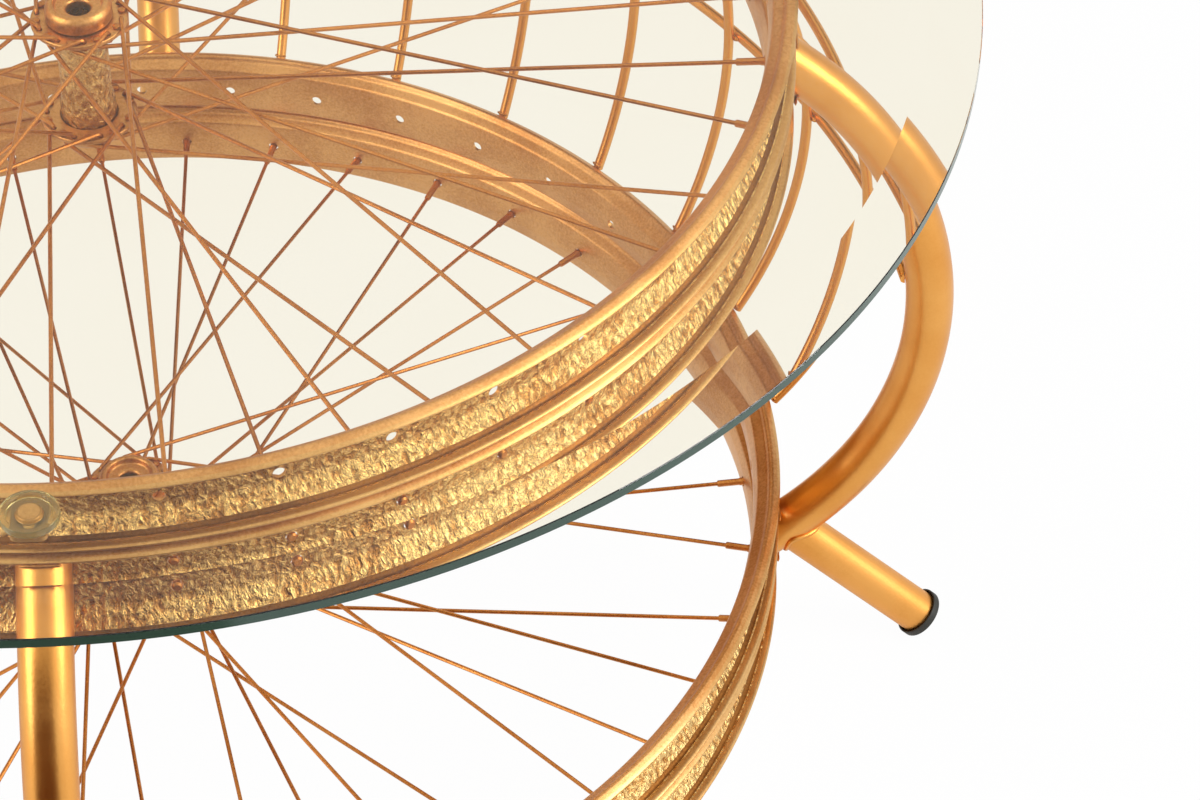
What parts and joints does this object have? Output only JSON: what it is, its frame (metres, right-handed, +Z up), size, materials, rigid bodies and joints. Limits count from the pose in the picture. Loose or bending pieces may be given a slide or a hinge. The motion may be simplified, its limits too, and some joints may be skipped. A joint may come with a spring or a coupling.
{
  "type": "bicycle wheel coffee table",
  "caption": "Round coffee table: bevelled glass top on stacked bicycle rims with laced hubs, bowed tube legs, splayed feet and a rod cage over one quarter.",
  "frame": {"origin": "on the floor, on the wheels' axis", "axes": "+Z up along the wheels' axis, +X to the right leg, +Y to the rear leg, the front leg at -Y"},
  "size_m": [0.8156, 0.8156, 0.4358],
  "materials": {
    "gold_paint": "satin gold paint",
    "brown_steel": "thin brown paint",
    "clear_vinyl": "clear, yellowed",
    "black_rubber": "matt",
    "clear_glass": "polished, bevelled"
  },
  "bodies": {
    "frame": {"lower_laced_rim": "gold_paint", "lower_bare_rim": "gold_paint", "upper_laced_rim": "gold_paint", "upper_bare_rim": "gold_paint", "lower_hub_barrel": "gold_paint", "lower_top_flange_spokes": "gold_paint", "lower_top_cup": "gold_paint", "lower_bottom_flange_spokes": "gold_paint", "lower_bottom_cup": "gold_paint", "upper_hub_barrel": "gold_paint", "upper_top_flange_spokes": "gold_paint", "upper_top_cup": "gold_paint", "upper_bottom_flange_spokes": "gold_paint", "upper_bottom_cup": "gold_paint", "leg_right": "gold_paint", "leg_rear": "gold_paint", "leg_left": "gold_paint", "leg_front": "gold_paint", "foot_right": "gold_paint", "foot_rear": "gold_paint", "foot_left": "gold_paint", "foot_front": "gold_paint", "cage_rod_1": "gold_paint", "cage_rod_2": "gold_paint", "cage_rod_3": "gold_paint", "cage_rod_4": "gold_paint", "cage_rod_5": "gold_paint", "cage_rod_6": "gold_paint", "cage_rod_7": "gold_paint", "middle_hoop": "gold_paint", "upper_hoop": "gold_paint", "glass_tab_right": "brown_steel", "glass_tab_rear": "brown_steel", "glass_tab_left": "brown_steel", "glass_tab_front": "brown_steel", "glass_pad_right": "clear_vinyl", "glass_pad_rear": "clear_vinyl", "glass_pad_left": "clear_vinyl", "glass_pad_front": "clear_vinyl", "cap_right": "black_rubber", "cap_rear": "black_rubber", "cap_left": "black_rubber", "cap_front": "black_rubber"},
    "glass": {"glass_top": "clear_glass"}
  },
  "joints": [
    {"name": "glass_lift", "type": "slide", "parent": "frame", "child": "glass", "axis": [0, 0, 1], "range_m": [0, 0.3]}
  ]
}
